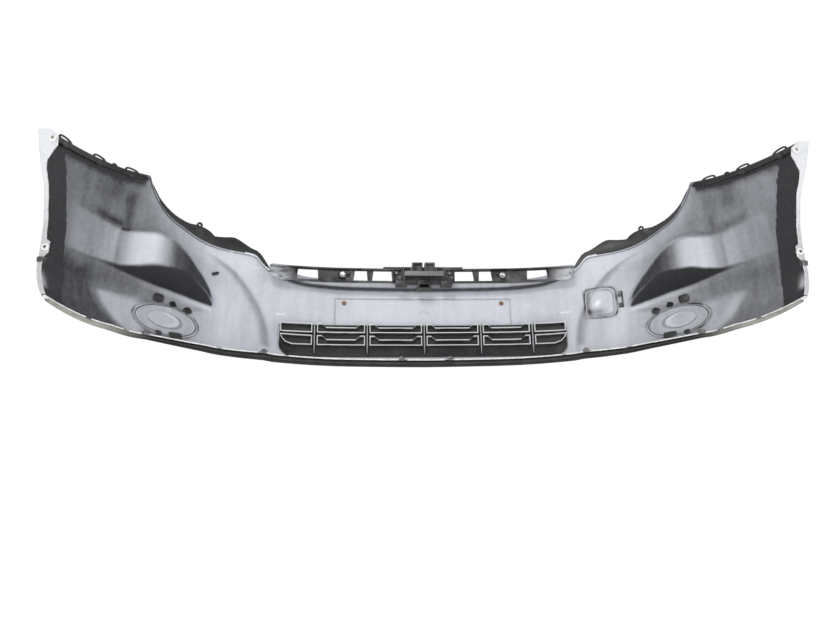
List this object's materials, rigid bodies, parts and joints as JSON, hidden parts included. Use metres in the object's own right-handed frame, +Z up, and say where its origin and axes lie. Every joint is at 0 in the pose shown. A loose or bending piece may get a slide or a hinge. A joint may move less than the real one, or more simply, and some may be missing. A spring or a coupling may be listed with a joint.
{
  "type": "front bumper cover",
  "caption": "Car front bumper cover with lower grille, bridge bar, lamp brackets, fender retainers, blanking covers and a hinged towing eye cover.",
  "frame": {"origin": "middle of the two M6 holes in the bridge bar, on the bar", "axes": "+X to the car's side (right when seen from inside the cover), +Y to the front of the car, +Z up"},
  "size_m": [1.8236, 0.5448, 0.4897],
  "materials": {
    "cover_paint": "painted plastic: light silver outside, thin grey overspray on the inside",
    "chin_black": "textured black polypropylene with dust and scuffs",
    "grille_grey": "black plastic with grey overspray on its rear edges",
    "mesh_black": "matt black honeycomb relief",
    "bar_black": "black moulded plastic with dust",
    "zinc": "zinc-plated steel",
    "zinc_dull": "dull zinc-plated steel",
    "clip_grey": "grey plastic, dusty",
    "bracket_black": "satin black moulded plastic",
    "nylon_white": "white nylon, rust stained at the hole",
    "clip_steel": "phosphated spring steel",
    "blank_paint": "painted plastic: silver outside, grey overspray inside",
    "tow_paint": "painted plastic: silver outside, smeared overspray inside",
    "rust_brass": "rusted steel insert"
  },
  "bodies": {
    "root": {"cover_centre": "cover_paint", "cover_inner_left": "cover_paint", "cover_inner_right": "cover_paint", "cover_side_left": "cover_paint", "cover_side_right": "cover_paint", "cover_arch_left": "cover_paint", "cover_arch_right": "cover_paint", "chin_strip": "chin_black", "lower_grille": "grille_grey", "grille_backing": "mesh_black", "bridge_bar": "bar_black", "bridge_bar_screws": "zinc", "bridge_bar_washers": "zinc_dull", "centre_bracket": "bar_black", "centre_latch": "clip_grey", "centre_clip_feet": "bar_black", "headlamp_bracket_left": "bracket_black", "headlamp_bracket_right": "bracket_black", "fender_retainer_left": "bracket_black", "fender_retainer_right": "bracket_black", "arch_grommets": "nylon_white", "arch_liner_clips": "clip_steel", "tow_eye_strap": "chin_black", "plate_inserts": "rust_brass", "undertray_nuts": "clip_steel"},
    "fog_cover_left": {"fog_cover_left": "blank_paint"},
    "fog_cover_right": {"fog_cover_right": "blank_paint"},
    "tow_eye_cover": {"tow_eye_cover": "tow_paint"}
  },
  "joints": [
    {"name": "tow_cover_hinge", "type": "hinge", "parent": "root", "child": "tow_eye_cover", "pos_m": [0.56536, -0.0424, -0.102], "axis": [0, 0, -1], "range_deg": [0, 75]},
    {"name": "fog_cover_left_pull", "type": "slide", "parent": "root", "child": "fog_cover_left", "axis": [-0.6233, 0.782, 0], "range_m": [0, 0.04]},
    {"name": "fog_cover_right_pull", "type": "slide", "parent": "root", "child": "fog_cover_right", "axis": [0.6233, 0.782, 0], "range_m": [0, 0.04]}
  ]
}
